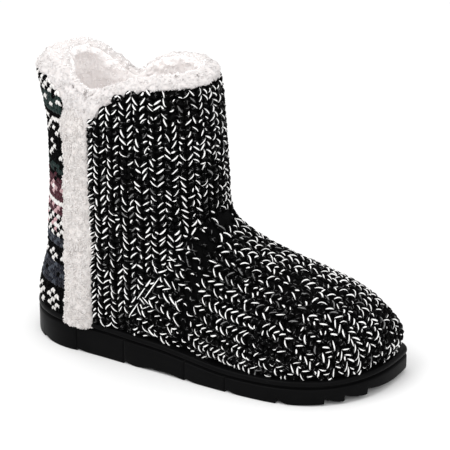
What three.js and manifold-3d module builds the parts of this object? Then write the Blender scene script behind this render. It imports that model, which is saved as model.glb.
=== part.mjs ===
// Slipper boot, right foot: knitted upper with a deep fleece lining, moulded rubber unit sole,
// fleece strips down both sides, fleece roll round the collar and a padded footbed.
// Millimetres, +X towards the toe, +Y towards the inner side of the foot, +Z up.
// The boot stands on the plane z = 0 with the middle of its outline over the origin.
import * as THREE from 'three';
import { mergeVertices } from 'three/addons/utils/BufferGeometryUtils.js';
import Module from 'manifold-3d';

// ---------------------------------------------------------------- driving sizes
const LENGTH = 264;            // outsole, heel to toe
const BALL_WIDTH = 100.45;     // outsole across the ball
const HEEL_WIDTH = 76.16;      // outsole across the heel seat
const INSTEP = 104;            // height of the foot form under the front of the shaft
const SHAFT_WIDTH = 86;        // shaft across the ankle
const HEEL_STACK = 23.8;       // sole thickness under the heel
const BALL_STACK = 16.55;      // sole thickness under the ball
const TOE_SPRING = 3.2;        // lift of the sole at the toe
const ARCH_LIFT = 1.6;         // relief under the waist of the sole
const TOE_SWING = 28.8;        // inward swing of the toe tip
const WALL = 7;                // knit and fleece together
const FUR_PROUD = 3.8;         // how far the side strips stand proud of the knit
const FOOTBED = 5;             // thickness of the insole
const GAP = 0.3;               // clearance where two pieces meet
const LUG_DEPTH = 3;           // depth of the tread steps
const LUG_RAMP = 11;           // length of the ramp of each step

// Where the heel curve ends and the toe curve starts, as fractions of the length,
// with the roundness of each end in plan.
const HEEL_END = 0.17, TOE_START = 0.72, HEEL_ROUND = 1.85, TOE_ROUND = 2.32;

// Outline of the sole: half widths as fractions of the ball width.
const OUTLINE = [
  { s: 0.17, outer: 0.5076 * HEEL_WIDTH / BALL_WIDTH, inner: 0.4924 * HEEL_WIDTH / BALL_WIDTH },
  { s: 0.40, outer: 0.4397, inner: 0.3833 },
  { s: 0.72, outer: 0.5060, inner: 0.4940 },
];
// Height of the top of the sole along the length.
const STACK = [
  { s: 0.00, top: HEEL_STACK },
  { s: 0.20, top: HEEL_STACK },
  { s: 0.42, top: HEEL_STACK - 1.8 },
  { s: 0.66, top: BALL_STACK },
  { s: 0.85, top: BALL_STACK + 1.05 },
  { s: 1.00, top: BALL_STACK + 2.05 },
];
// Sections of the last: ridge height as a fraction of the instep, half widths of the ball width.
const LAST = [
  { s: 0.100, ridge: 0.615, outer: 0.343, inner: 0.338 },
  { s: 0.300, ridge: 0.942, outer: 0.398, inner: 0.375 },
  { s: 0.450, ridge: 1.000, outer: 0.428, inner: 0.402 },
  { s: 0.560, ridge: 0.933, outer: 0.453, inner: 0.434 },
  { s: 0.650, ridge: 0.841, outer: 0.478, inner: 0.453 },
  { s: 0.735, ridge: 0.784, outer: 0.488, inner: 0.473 },
  { s: 0.820, ridge: 0.750, outer: 0.488, inner: 0.476 },
  { s: 0.900, ridge: 0.740, outer: 0.488, inner: 0.476 },
  { s: 1.000, ridge: 0.721, outer: 0.488, inner: 0.476 },
];
const LAST_TOE = 263.5, LAST_HEEL = 7, LAST_HEEL_SPAN = 46, PLAN_ROUND = 2.35, TOP_ROUND = 2.1;
const FEATHER_TUCK = 0.055;    // how far the form draws in where it meets the sole

// Sections of the shaft: back and front from the heel, half width as a fraction of the shaft width.
const SHAFT = [
  { z: 16, back: 8.0, front: 136.0, half: 0.419 },
  { z: 36, back: 8.0, front: 138.0, half: 0.448 },
  { z: 60, back: 10.5, front: 141.0, half: 0.483 },
  { z: 90, back: 12.3, front: 142.0, half: 0.500 },
  { z: 120, back: 14.5, front: 141.0, half: 0.500 },
  { z: 156, back: 13.6, front: 139.0, half: 0.488 },
  { z: 186, back: 7.8, front: 136.8, half: 0.477 },
  { z: 212, back: 1.5, front: 134.0, half: 0.471 },
];
const SHAFT_ROUND = 2.25;
// Softness of the bend between shaft and foot: on the flanks, and the extra over the instep.
const BEND_FLANK = 11, BEND_INSTEP = 10, BEND_SPREAD = 26;

// Edge of the knit round the collar, dipping into a notch over each side strip,
// and the top of the fleece above it.
const COLLAR = [
  { x: 0, knit: 200, fur: 209.5 },
  { x: 20, knit: 197, fur: 208.5 },
  { x: 34, knit: 188, fur: 203 },
  { x: 43, knit: 176, fur: 197.5 },
  { x: 51, knit: 164, fur: 194 },
  { x: 59, knit: 164, fur: 193 },
  { x: 70, knit: 180.5, fur: 195 },
  { x: 78, knit: 187, fur: 198.5 },
  { x: 85, knit: 191.8, fur: 201.5 },
  { x: 99, knit: 197, fur: 205.5 },
  { x: 118, knit: 199.5, fur: 208 },
  { x: 142, knit: 199, fur: 207.5 },
];
// Side strips: back and front edge at each height.
const STRIP = [
  { z: 24, back: 40, front: 62 },
  { z: 87, back: 38, front: 63 },
  { z: 140, back: 41, front: 61 },
  { z: 172, back: 43.5, front: 59 },
];
// Rings of the upper from the sole to the collar: where each crosses the toe and vamp,
// and its height at the sides and at the heel.
const RINGS = [
  { toeX: 261.5, toeZ: 19.5, side: 24.0, heel: 24.0 },
  { toeX: 263.3, toeZ: 33.0, side: 36.0, heel: 36.0 },
  { toeX: 256.0, toeZ: 51.0, side: 53.0, heel: 54.0 },
  { toeX: 242.0, toeZ: 64.0, side: 67.5, heel: 69.0 },
  { toeX: 222.0, toeZ: 73.5, side: 80.0, heel: 84.0 },
  { toeX: 198.0, toeZ: 80.5, side: 91.0, heel: 97.0 },
  { toeX: 175.0, toeZ: 86.5, side: 101.0, heel: 109.0 },
  { toeX: 157.0, toeZ: 95.5, side: 110.5, heel: 119.0 },
  { toeX: 144.5, toeZ: 108.5, side: 121.0, heel: 129.0 },
  { toeX: 141.5, toeZ: 125.0, side: 133.0, heel: 140.0 },
];
const AROUND = 64, RING_STEPS = 19, SHAFT_STEPS = 7;

// Tread steps across the sole, as fractions of the length.
const TREAD = [0.06, 0.18, 0.326, 0.511, 0.632, 0.774, 0.89];
// Profile of the sole's side wall from the ground up: how far in from the outline, and the height,
// measured from the ground or down from the top of the sole.
const WALL_PROFILE = [
  { inset: 1.6, up: 0 },
  { inset: 0.2, up: 1.8 },
  { inset: 0.0, down: 6.2 },
  { inset: 0.3, down: 4.8 },
  { inset: 1.3, down: 4.1 },
  { inset: 0.3, down: 3.4 },
  { inset: 0.0, down: 1.4 },
  { inset: 0.8, down: 0 },
];

// ---------------------------------------------------------------- curves through the tables
const clamp = (v, lo, hi) => Math.min(hi, Math.max(lo, v));
const smooth = (a, b, v) => { const t = clamp((v - a) / (b - a), 0, 1); return t * t * (3 - 2 * t); };

// Monotone cubic through one column of a table, level at both ends.
function curve(rows, at, column) {
  const x = rows.map((r) => r[at]), y = rows.map((r) => r[column]);
  const rise = x.slice(1).map((v, i) => (y[i + 1] - y[i]) / (v - x[i]));
  const slope = y.map((_, i) => {
    const a = rise[i - 1], b = rise[i];
    return i === 0 || i === y.length - 1 || a * b <= 0 ? 0 : (2 * a * b) / (a + b);
  });
  return (v) => {
    const q = clamp(v, x[0], x[x.length - 1]);
    let i = 0;
    while (i < x.length - 2 && q > x[i + 1]) i++;
    const h = x[i + 1] - x[i], t = (q - x[i]) / h, t2 = t * t, t3 = t2 * t;
    return y[i] * (2 * t3 - 3 * t2 + 1) + slope[i] * h * (t3 - 2 * t2 + t)
      + y[i + 1] * (3 * t2 - 2 * t3) + slope[i + 1] * h * (t3 - t2);
  };
}
const outlineOuter = curve(OUTLINE, 's', 'outer'), outlineInner = curve(OUTLINE, 's', 'inner');
const stackTop = curve(STACK, 's', 'top');
const lastRidge = curve(LAST, 's', 'ridge'), lastOuter = curve(LAST, 's', 'outer'), lastInner = curve(LAST, 's', 'inner');
const shaftBack = curve(SHAFT, 'z', 'back'), shaftFront = curve(SHAFT, 'z', 'front'), shaftHalf = curve(SHAFT, 'z', 'half');
const collarKnit = curve(COLLAR, 'x', 'knit'), collarFur = curve(COLLAR, 'x', 'fur');
const stripBack = curve(STRIP, 'z', 'back'), stripFront = curve(STRIP, 'z', 'front');
const soleTop = (x) => stackTop(x / LENGTH);

// Underside of the sole: level under heel and ball, relieved at the waist, lifted at the toe.
function soleBottom(x) {
  const s = x / LENGTH;
  const arch = ARCH_LIFT * smooth(0.36, 0.42, s) * (1 - smooth(0.46, 0.52, s));
  return arch + TOE_SPRING * clamp((s - 0.74) / 0.26, 0, 1) ** 2;
}

// ---------------------------------------------------------------- the form of the upper
// Foot: superelliptic sections along the last, closed over toe and heel.
function footForm(x, y, z) {
  const s = x / LENGTH, foot = soleTop(x);
  const outer = lastOuter(s) * BALL_WIDTH, inner = lastInner(s) * BALL_WIDTH;
  const t = (z - foot) / (lastRidge(s) * INSTEP - foot);
  const toe = Math.max(0, (x - TOE_START * LENGTH) / (LAST_TOE - TOE_START * LENGTH));
  const heel = Math.max(0, (LAST_HEEL + LAST_HEEL_SPAN - x) / LAST_HEEL_SPAN);
  const middle = (inner - outer) / 2 + TOE_SWING * (0.2 * toe ** 2 + 0.58 * Math.min(toe, 1.05) ** 6);
  const tuck = 1 - FEATHER_TUCK * (1 - smooth(-0.05, 0.22, t));
  const across = Math.abs(y - middle) / (((outer + inner) / 2) * tuck);
  return ((toe / tuck) ** PLAN_ROUND + (heel / tuck) ** PLAN_ROUND + across ** PLAN_ROUND
    + Math.max(0, t) ** TOP_ROUND) ** (1 / PLAN_ROUND) - 1;
}
// Shaft: superelliptic level sections.
function shaftForm(x, y, z) {
  const back = shaftBack(z), front = shaftFront(z);
  return ((Math.abs(x - (back + front) / 2) / ((front - back) / 2)) ** SHAFT_ROUND
    + (Math.abs(y) / (shaftHalf(z) * SHAFT_WIDTH)) ** SHAFT_ROUND) ** (1 / SHAFT_ROUND) - 1;
}
// A form's value divided by its own slope, close to a distance in millimetres.
function reach(form, x, y, z) {
  const h = 0.05;
  const gx = form(x + h, y, z) - form(x - h, y, z);
  const gy = form(x, y + h, z) - form(x, y - h, z);
  const gz = form(x, y, z + h) - form(x, y, z - h);
  return form(x, y, z) / Math.max(Math.hypot(gx, gy, gz) / (2 * h), 4e-3);
}
// Outer surface of the knit at 0, outside positive: foot and shaft run softly into one another.
function upperForm(x, y, z) {
  const a = reach(footForm, x, y, z), b = reach(shaftForm, x, y, z);
  const k = BEND_FLANK + BEND_INSTEP * Math.exp(-((y / BEND_SPREAD) ** 2));
  const h = Math.max(0, k - Math.abs(a - b)) / k;
  return Math.min(a, b) - (h * h * k) / 4;
}
function slopeOf(p, level = false) {
  const h = 0.1, [x, y, z] = p;
  const g = [
    (upperForm(x + h, y, z) - upperForm(x - h, y, z)) / (2 * h),
    (upperForm(x, y + h, z) - upperForm(x, y - h, z)) / (2 * h),
    level ? 0 : (upperForm(x, y, z + h) - upperForm(x, y, z - h)) / (2 * h),
  ];
  const n = Math.hypot(...g);
  return { g, n, unit: g.map((v) => v / n) };
}
// Slide a point along the slope until it lies at the given distance from the knit's surface.
function settle(p, distance, level = false) {
  let q = [...p];
  for (let i = 0; i < 14; i++) {
    const { n, unit } = slopeOf(q, level);
    const step = clamp((upperForm(...q) - distance) / n, -12, 12);
    q = q.map((v, k) => v - step * unit[k]);
    if (Math.abs(step) < 1e-5) break;
  }
  return q;
}

// ---------------------------------------------------------------- mesh helpers
class Shell {
  constructor() { this.points = []; this.faces = []; }
  add(p) { this.points.push(p); return this.points.length - 1; }
  quad(a, b, c, d) { this.faces.push([a, b, c], [a, c, d]); }
  tri(a, b, c) { this.faces.push([a, b, c]); }
  // Join two rows of indices that run the same way; closed rows wrap round.
  band(lower, upper, closed) {
    const n = lower.length, m = closed ? n : n - 1;
    for (let j = 0; j < m; j++) this.quad(lower[j], lower[(j + 1) % n], upper[(j + 1) % n], upper[j]);
  }
  geometry() {
    const used = this.faces.filter(([a, b, c]) => a !== b && b !== c && a !== c);
    const flat = new THREE.BufferGeometry();
    flat.setAttribute('position', new THREE.BufferAttribute(new Float32Array(this.points.flat()), 3));
    flat.setIndex(used.flat());
    let volume = 0;
    for (const [a, b, c] of used) {
      const [p, q, r] = [a, b, c].map((k) => new THREE.Vector3(...this.points[k]));
      volume += p.dot(q.cross(r)) / 6;
    }
    if (volume < 0) flat.setIndex(used.flatMap(([a, b, c]) => [a, c, b]));
    return flat;
  }
}

// ---------------------------------------------------------------- upper
const rowOf = (column) => {
  const rows = RINGS.map((r, i) => ({ i, v: r[column] }));
  return curve(rows, 'i', 'v');
};
const ringToeX = rowOf('toeX'), ringToeZ = rowOf('toeZ'), ringSide = rowOf('side'), ringHeel = rowOf('heel');
const MIDDLE_X = 77;

// First guess of ring r (0 at the sole, RINGS.length - 1 at the ankle) at angle a, before it settles on the form.
function guess(r, a) {
  const c = Math.cos(a), ahead = Math.max(0, c), behind = Math.max(0, -c);
  const z = ringSide(r) + (ringToeZ(r) - ringSide(r)) * ahead + (ringHeel(r) - ringSide(r)) * behind;
  const x = MIDDLE_X + (ringToeX(r) - MIDDLE_X) * ahead - (MIDDLE_X - 10) * behind;
  const swing = TOE_SWING * 0.6 * smooth(0.75, 1, x / LENGTH);
  const y = 46 * Math.sign(Math.sin(a)) * Math.abs(Math.sin(a)) ** 0.85 + swing;
  return [x, y, z];
}
function collarPoint(p) {
  let q = [...p];
  for (let i = 0; i < 5; i++) {
    q[2] = collarKnit(q[0]);
    q = settle(q, 0, true);
  }
  return q;
}
const angles = Array.from({ length: AROUND }, (_, j) => (2 * Math.PI * j) / AROUND);
const outerRings = [];
for (let i = 0; i <= RING_STEPS; i++) {
  const r = (i / RING_STEPS) * (RINGS.length - 1);
  outerRings.push(angles.map((a) => {
    const p = guess(r, a);
    if (i === 0) {
      let q = p;
      for (let k = 0; k < 5; k++) { q[2] = soleTop(q[0]) + GAP; q = settle(q, 0, true); }
      return q;
    }
    return settle(p, 0);
  }));
}
const ankle = outerRings[RING_STEPS];
const rim = ankle.map(collarPoint);
for (let i = 1; i <= SHAFT_STEPS; i++) {
  const t = i / SHAFT_STEPS;
  outerRings.push(ankle.map((p, j) => {
    if (i === SHAFT_STEPS) return rim[j];
    const q = p.map((v, k) => v + (rim[j][k] - v) * t);
    return settle(q, 0, true);
  }));
}
const lastRing = outerRings.length - 1;
const innerRings = outerRings.map((ring, i) => ring.map((p) => {
  const level = i === 0 || i > RING_STEPS;
  const { unit } = slopeOf(p, level);
  return settle(p.map((v, k) => v - WALL * unit[k]), -WALL, level);
}));

function upperGeometry() {
  const shell = new Shell();
  const outer = outerRings.map((ring) => ring.map((p) => shell.add(p)));
  const inner = innerRings.map((ring) => ring.map((p) => shell.add(p)));
  for (let i = 0; i < lastRing; i++) {
    shell.band(outer[i], outer[i + 1], true);
    shell.band(inner[i + 1], inner[i], true);
  }
  shell.band(outer[lastRing], inner[lastRing], true);
  shell.band(inner[0], outer[0], true);
  return shell.geometry();
}

// ---------------------------------------------------------------- footbed
function insoleGeometry() {
  const shell = new Shell();
  const level = (lift, inset) => innerRings[0].map((p) => {
    const q = [p[0], p[1], soleTop(p[0]) + GAP + lift];
    const { unit } = slopeOf(q, true);
    return shell.add([q[0] - inset * unit[0], q[1] - inset * unit[1], q[2]]);
  });
  const rings = [level(0, 0.9), level(FOOTBED - 1.5, 0.9), level(FOOTBED, 2.6)];
  shell.band(rings[0], rings[1], true);
  shell.band(rings[1], rings[2], true);
  // Top and underside: strips straight across from one side to the other.
  const half = AROUND / 2;
  for (const [ring, flip] of [[rings[2], false], [rings[0], true]]) {
    for (let j = 0; j < half; j++) {
      const a = ring[j], b = ring[j + 1], c = ring[(AROUND - j - 1) % AROUND], d = ring[(AROUND - j) % AROUND];
      if (flip) { shell.tri(a, c, b); shell.tri(a, d, c); } else { shell.tri(a, b, c); shell.tri(a, c, d); }
    }
  }
  return shell.geometry();
}

// ---------------------------------------------------------------- side strips
// Each strip is the slab between two larger forms of the upper, cut to the strip's edges.
const STRIP_ACROSS = 6, STRIP_UP = 16;
function stripGeometry(side) {
  const shell = new Shell();
  const place = (i, j, proud) => {
    const u = i / STRIP_ACROSS, v = j / STRIP_UP;
    let x = 50, z = 100, low = 0, high = 0;
    for (let k = 0; k < 6; k++) {
      low = soleTop(x) + 2 * GAP;
      high = collarKnit(x) - 1.2;
      z = low + (high - low) * v;
      x = stripBack(z) + (stripFront(z) - stripBack(z)) * u;
    }
    let y = side * 30;
    for (let k = 0; k < 40; k++) {
      const f = upperForm(x, y, z) - proud;
      const g = (upperForm(x, y + 0.1, z) - upperForm(x, y - 0.1, z)) / 0.2;
      y -= clamp(f / g, -6, 6);
      if (Math.abs(f) < 1e-5) break;
    }
    return shell.add([x, y, z]);
  };
  const proudAt = (i, j) => {
    const u = (2 * i) / STRIP_ACROSS - 1, edge = Math.sqrt(Math.max(0, 1 - u ** 4));
    const end = Math.sqrt(Math.max(0, 1 - ((2 * j) / STRIP_UP - 1) ** 24));
    return 1.4 + (FUR_PROUD - 1.4) * edge * end;
  };
  const under = [], over = [];
  for (let j = 0; j <= STRIP_UP; j++) {
    under.push([]); over.push([]);
    for (let i = 0; i <= STRIP_ACROSS; i++) {
      under[j].push(place(i, j, GAP));
      over[j].push(place(i, j, proudAt(i, j)));
    }
  }
  for (let j = 0; j < STRIP_UP; j++) {
    shell.band(over[j], over[j + 1], false);
    shell.band(under[j + 1], under[j], false);
    shell.quad(over[j][0], over[j + 1][0], under[j + 1][0], under[j][0]);
    shell.quad(under[j][STRIP_ACROSS], under[j + 1][STRIP_ACROSS], over[j + 1][STRIP_ACROSS], over[j][STRIP_ACROSS]);
  }
  shell.band(under[0], over[0], false);
  shell.band(over[STRIP_UP], under[STRIP_UP], false);
  return shell.geometry();
}

// ---------------------------------------------------------------- fleece roll round the collar
// Section of the roll: distance out from the knit's surface, and the share of the roll's height.
const ROLL = [
  { out: -WALL + 0.4, lift: 0 },
  { out: -0.4, lift: 0 },
  { out: 2.2, lift: 0.16 },
  { out: 2.8, lift: 0.5 },
  { out: 0.8, lift: 0.85 },
  { out: -3.5, lift: 1 },
  { out: -8.6, lift: 0.9 },
  { out: -11.0, lift: 0.55 },
  { out: -10.2, lift: 0.18 },
];
function rollGeometry() {
  const shell = new Shell();
  const rows = ROLL.map(({ out, lift }) => rim.map((p) => {
    const { unit } = slopeOf(p, true);
    const base = p[2] + GAP, height = collarFur(p[0]) - base;
    return shell.add([p[0] + out * unit[0], p[1] + out * unit[1], base + lift * height]);
  }));
  rows.forEach((row, i) => shell.band(row, rows[(i + 1) % rows.length], true));
  return shell.geometry();
}

// ---------------------------------------------------------------- sole
// Stations from heel to toe, close together round both ends.
function stations() {
  const list = [], heelSteps = 8, waistSteps = 16, toeSteps = 11;
  for (let i = 0; i < heelSteps; i++) {
    const a = (i / heelSteps) * (Math.PI / 2);
    list.push({ s: HEEL_END * (1 - Math.cos(a) ** (2 / HEEL_ROUND)), heel: Math.sin(a) ** (2 / HEEL_ROUND), toe: 1 });
  }
  for (let i = 0; i < waistSteps; i++) list.push({ s: HEEL_END + (TOE_START - HEEL_END) * (i / waistSteps), heel: 1, toe: 1 });
  for (let i = 0; i <= toeSteps; i++) {
    const a = (i / toeSteps) * (Math.PI / 2);
    list.push({ s: TOE_START + (1 - TOE_START) * Math.sin(a) ** (2 / TOE_ROUND), heel: 1, toe: Math.max(0, Math.cos(a)) ** (2 / TOE_ROUND) });
  }
  list[list.length - 1].toe = 0;
  return list;
}
// Closed outline, up the outer side and back down the inner side.
function outline() {
  const at = stations(), last = at.length - 1;
  const point = ({ s, heel, toe }, side) => {
    const half = (side < 0 ? outlineOuter(s) : outlineInner(s)) * BALL_WIDTH;
    return [s * LENGTH, side * half * heel * toe + TOE_SWING * (1 - toe)];
  };
  const outer = at.slice(1, last).map((q) => point(q, -1)), inner = at.slice(1, last).map((q) => point(q, 1));
  return [[0, 0], ...outer, [LENGTH, TOE_SWING], ...inner.reverse()];
}
function soleGeometry() {
  const edge = outline(), n = edge.length;
  const normal = edge.map((_, j) => {
    const a = edge[(j + n - 1) % n], b = edge[(j + 1) % n];
    const dx = b[0] - a[0], dy = b[1] - a[1], d = Math.hypot(dx, dy);
    return [dy / d, -dx / d];
  });
  const shell = new Shell();
  const rows = WALL_PROFILE.map(({ inset, up, down }) => edge.map(([x, y], j) => {
    const px = x - inset * normal[j][0], py = y - inset * normal[j][1];
    return shell.add([px, py, down === undefined ? soleBottom(px) + up : soleTop(px) - down]);
  }));
  for (let i = 0; i + 1 < rows.length; i++) shell.band(rows[i], rows[i + 1], true);
  const half = n / 2;
  for (const [row, flip] of [[rows[rows.length - 1], false], [rows[0], true]]) {
    for (let j = 0; j < half; j++) {
      const a = row[j], b = row[j + 1], c = row[(n - j - 1) % n], d = row[(n - j) % n];
      if (flip) { shell.tri(a, c, b); shell.tri(a, d, c); } else { shell.tri(a, b, c); shell.tri(a, c, d); }
    }
  }
  return shell.geometry();
}
const wasm = await Module();
wasm.setup();
function solid(geometry) {
  const bare = geometry.clone();
  for (const name of Object.keys(bare.attributes)) if (name !== 'position') bare.deleteAttribute(name);
  const merged = mergeVertices(bare, 1e-4);
  return new wasm.Manifold(new wasm.Mesh({
    numProp: 3,
    vertProperties: new Float32Array(merged.attributes.position.array),
    triVerts: new Uint32Array(merged.index.array),
  }));
}
function fromSolid(body) {
  const mesh = body.getMesh(), g = new THREE.BufferGeometry();
  const n = mesh.vertProperties.length / mesh.numProp, xyz = new Float32Array(3 * n);
  for (let i = 0; i < n; i++) for (let k = 0; k < 3; k++) xyz[3 * i + k] = mesh.vertProperties[i * mesh.numProp + k];
  g.setAttribute('position', new THREE.BufferAttribute(xyz, 3));
  g.setIndex(new THREE.BufferAttribute(new Uint32Array(mesh.triVerts), 1));
  return g;
}
// One tread step: upright on the heel side, ramping back to the ground towards the toe.
function treadCutter(s) {
  const x = s * LENGTH, base = soleBottom(x);
  const profile = new THREE.Shape([
    new THREE.Vector2(x, base - 8), new THREE.Vector2(x + LUG_RAMP + 3, base - 8),
    new THREE.Vector2(x + LUG_RAMP + 3, base - 0.6), new THREE.Vector2(x + LUG_RAMP, base - 0.02),
    new THREE.Vector2(x + 4, base + LUG_DEPTH), new THREE.Vector2(x, base + LUG_DEPTH),
  ]);
  const g = new THREE.ExtrudeGeometry(profile, { depth: 2 * BALL_WIDTH, bevelEnabled: false });
  g.rotateX(Math.PI / 2);
  g.translate(0, BALL_WIDTH, 0);
  return g;
}
function outsoleGeometry() {
  let body = solid(soleGeometry());
  for (const s of TREAD) body = body.subtract(solid(treadCutter(s)));
  return fromSolid(body);
}

// ---------------------------------------------------------------- assembly
const rubber = new THREE.MeshStandardMaterial({ color: 0x1d1d1e, roughness: 0.55, metalness: 0 });
const knit = new THREE.MeshStandardMaterial({ color: 0x2a2a2b, roughness: 0.95, metalness: 0 });
const fleece = () => new THREE.MeshStandardMaterial({ color: 0xebe5e2, roughness: 1, metalness: 0 });
const pieces = [
  ['outsole', outsoleGeometry(), rubber],
  ['upper', upperGeometry(), knit],
  ['insole', insoleGeometry(), fleece()],
  ['fur_strip_outer', stripGeometry(-1), fleece()],
  ['fur_strip_inner', stripGeometry(1), fleece()],
  ['fur_collar', rollGeometry(), fleece()],
];
const group = new THREE.Group();
group.name = 'slipper_boot';
for (const [name, geometry, material] of pieces) {
  geometry.computeVertexNormals();
  const mesh = new THREE.Mesh(geometry, material);
  mesh.name = name;
  group.add(mesh);
}
// The heel is at x = 0 and the sole's centre line at y = 0 above; move the middle of the box over the origin.
const box = new THREE.Box3().setFromObject(group);
const middle = box.getCenter(new THREE.Vector3());
group.position.set(-middle.x, -middle.y, -box.min.z);

export default group;
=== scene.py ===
import math

import bpy
import numpy as np
from mathutils import Matrix, Vector


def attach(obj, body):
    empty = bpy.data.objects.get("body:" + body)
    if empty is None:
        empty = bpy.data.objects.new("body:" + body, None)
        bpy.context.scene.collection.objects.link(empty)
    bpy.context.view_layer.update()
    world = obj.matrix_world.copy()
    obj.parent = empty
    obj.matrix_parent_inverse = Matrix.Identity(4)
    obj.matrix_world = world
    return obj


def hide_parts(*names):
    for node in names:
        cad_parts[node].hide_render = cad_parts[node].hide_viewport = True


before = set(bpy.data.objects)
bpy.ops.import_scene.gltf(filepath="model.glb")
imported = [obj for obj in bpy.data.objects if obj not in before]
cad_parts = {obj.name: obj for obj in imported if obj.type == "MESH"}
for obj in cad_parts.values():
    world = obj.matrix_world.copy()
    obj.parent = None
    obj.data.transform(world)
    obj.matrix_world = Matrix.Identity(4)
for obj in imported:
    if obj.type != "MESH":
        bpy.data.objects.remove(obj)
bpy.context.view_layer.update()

# ------------------------------------------------------------------ sizes, in millimetres from the heel
LENGTH, BALL, HEEL_W, INSTEP, SHAFT_W = 264.0, 100.45, 76.16, 104.0, 86.0
HEEL_STACK, BALL_STACK, TOE_SPRING, ARCH_LIFT, TOE_SWING = 23.8, 16.55, 3.2, 1.6, 28.8
HEEL_END, TOE_START, HEEL_ROUND, TOE_ROUND = 0.17, 0.72, 1.85, 2.32
# s, outer and inner half width of the sole
OUTLINE = ((0.17, 0.5076 * HEEL_W / BALL, 0.4924 * HEEL_W / BALL), (0.40, 0.4397, 0.3833), (0.72, 0.5060, 0.4940))
# s, top of the sole
STACK = ((0, HEEL_STACK), (0.20, HEEL_STACK), (0.42, HEEL_STACK - 1.8), (0.66, BALL_STACK), (0.85, BALL_STACK + 1.05), (1, BALL_STACK + 2.05))
# s, ridge, outer and inner half width of the last
LAST = ((0.1, 0.615, 0.343, 0.338), (0.3, 0.942, 0.398, 0.375), (0.45, 1, 0.428, 0.402), (0.56, 0.933, 0.453, 0.434),
        (0.65, 0.841, 0.478, 0.453), (0.735, 0.784, 0.488, 0.473), (0.82, 0.75, 0.488, 0.476), (0.9, 0.74, 0.488, 0.476), (1, 0.721, 0.488, 0.476))
LAST_TOE, LAST_HEEL, LAST_HEEL_SPAN, PLAN_ROUND, TOP_ROUND, TUCK = 263.5, 7.0, 46.0, 2.35, 2.1, 0.055
# z, back, front, half width of the shaft
SHAFT = ((16, 8, 136, 0.419), (36, 8, 138, 0.448), (60, 10.5, 141, 0.483), (90, 12.3, 142, 0.5), (120, 14.5, 141, 0.5),
         (156, 13.6, 139, 0.488), (186, 7.8, 136.8, 0.477), (212, 1.5, 134, 0.471))
SHAFT_ROUND, BEND_FLANK, BEND_INSTEP, BEND_SPREAD = 2.25, 11.0, 10.0, 26.0
# x, edge of the knit, top of the fleece
COLLAR = ((0, 200, 209.5), (20, 197, 208.5), (34, 188, 203), (43, 176, 197.5), (51, 164, 194), (59, 164, 193), (70, 180.5, 195),
          (78, 187, 198.5), (85, 191.8, 201.5), (99, 197, 205.5), (118, 199.5, 208), (142, 199, 207.5))
# z, back and front edge of the side strips
STRIP = ((24, 40, 62), (87, 38, 63), (140, 41, 61), (172, 43.5, 59))
TREAD = (0.06, 0.18, 0.326, 0.511, 0.632, 0.774, 0.89, 0.930, 0.968)
LUG_DEPTH, LUG_RAMP = (1.9, 1.9, 2.0, 2.0, 2.2, 3.0, 3.8, 3.8, 3.8), 9.0
SIPES = (47.6, 86.1, 134.9, 166.8)
AXIS_X = 77.0
MOVE = np.array([-132.0, 0.603, 0.0])


def curve(rows, col):
    x = np.array([r[0] for r in rows], float)
    y = np.array([r[col] for r in rows], float)
    d = np.diff(y) / np.diff(x)
    m = np.zeros_like(y)
    for i in range(1, len(x) - 1):
        if d[i - 1] * d[i] > 0:
            m[i] = 2 * d[i - 1] * d[i] / (d[i - 1] + d[i])

    def f(v):
        q = np.clip(np.asarray(v, float), x[0], x[-1])
        i = np.clip(np.searchsorted(x, q, side="left") - 1, 0, len(x) - 2)
        h = x[i + 1] - x[i]
        t = (q - x[i]) / h
        t2, t3 = t * t, t * t * t
        return y[i] * (2 * t3 - 3 * t2 + 1) + m[i] * h * (t3 - 2 * t2 + t) + y[i + 1] * (3 * t2 - 2 * t3) + m[i + 1] * h * (t3 - t2)
    return f


out_o, out_i, stack = curve(OUTLINE, 1), curve(OUTLINE, 2), curve(STACK, 1)
l_ridge, l_o, l_i = curve(LAST, 1), curve(LAST, 2), curve(LAST, 3)
s_b, s_f, s_h = curve(SHAFT, 1), curve(SHAFT, 2), curve(SHAFT, 3)
c_knit, c_fur = curve(COLLAR, 1), curve(COLLAR, 2)
st_b, st_f = curve(STRIP, 1), curve(STRIP, 2)


def smooth(a, b, v):
    t = np.clip((v - a) / (b - a), 0, 1)
    return t * t * (3 - 2 * t)


def sole_top(x):
    return stack(np.asarray(x, float) / LENGTH)


def sole_bottom(x):
    s = np.asarray(x, float) / LENGTH
    return ARCH_LIFT * smooth(0.36, 0.42, s) * (1 - smooth(0.46, 0.52, s)) + TOE_SPRING * np.clip((s - 0.74) / 0.26, 0, 1) ** 2


def foot_form(x, y, z):
    s = x / LENGTH
    foot = sole_top(x)
    o, i = l_o(s) * BALL, l_i(s) * BALL
    t = (z - foot) / (l_ridge(s) * INSTEP - foot)
    toe = np.maximum(0, (x - TOE_START * LENGTH) / (LAST_TOE - TOE_START * LENGTH))
    heel = np.maximum(0, (LAST_HEEL + LAST_HEEL_SPAN - x) / LAST_HEEL_SPAN)
    mid = (i - o) / 2 + TOE_SWING * (0.2 * toe ** 2 + 0.58 * np.minimum(toe, 1.05) ** 6)
    tuck = 1 - TUCK * (1 - smooth(-0.05, 0.22, t))
    across = np.abs(y - mid) / ((o + i) / 2 * tuck)
    return ((toe / tuck) ** PLAN_ROUND + (heel / tuck) ** PLAN_ROUND + across ** PLAN_ROUND + np.maximum(0, t) ** TOP_ROUND) ** (1 / PLAN_ROUND) - 1


def shaft_form(x, y, z):
    b, f = s_b(z), s_f(z)
    return ((np.abs(x - (b + f) / 2) / ((f - b) / 2)) ** SHAFT_ROUND + (np.abs(y) / (s_h(z) * SHAFT_W)) ** SHAFT_ROUND) ** (1 / SHAFT_ROUND) - 1


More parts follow.
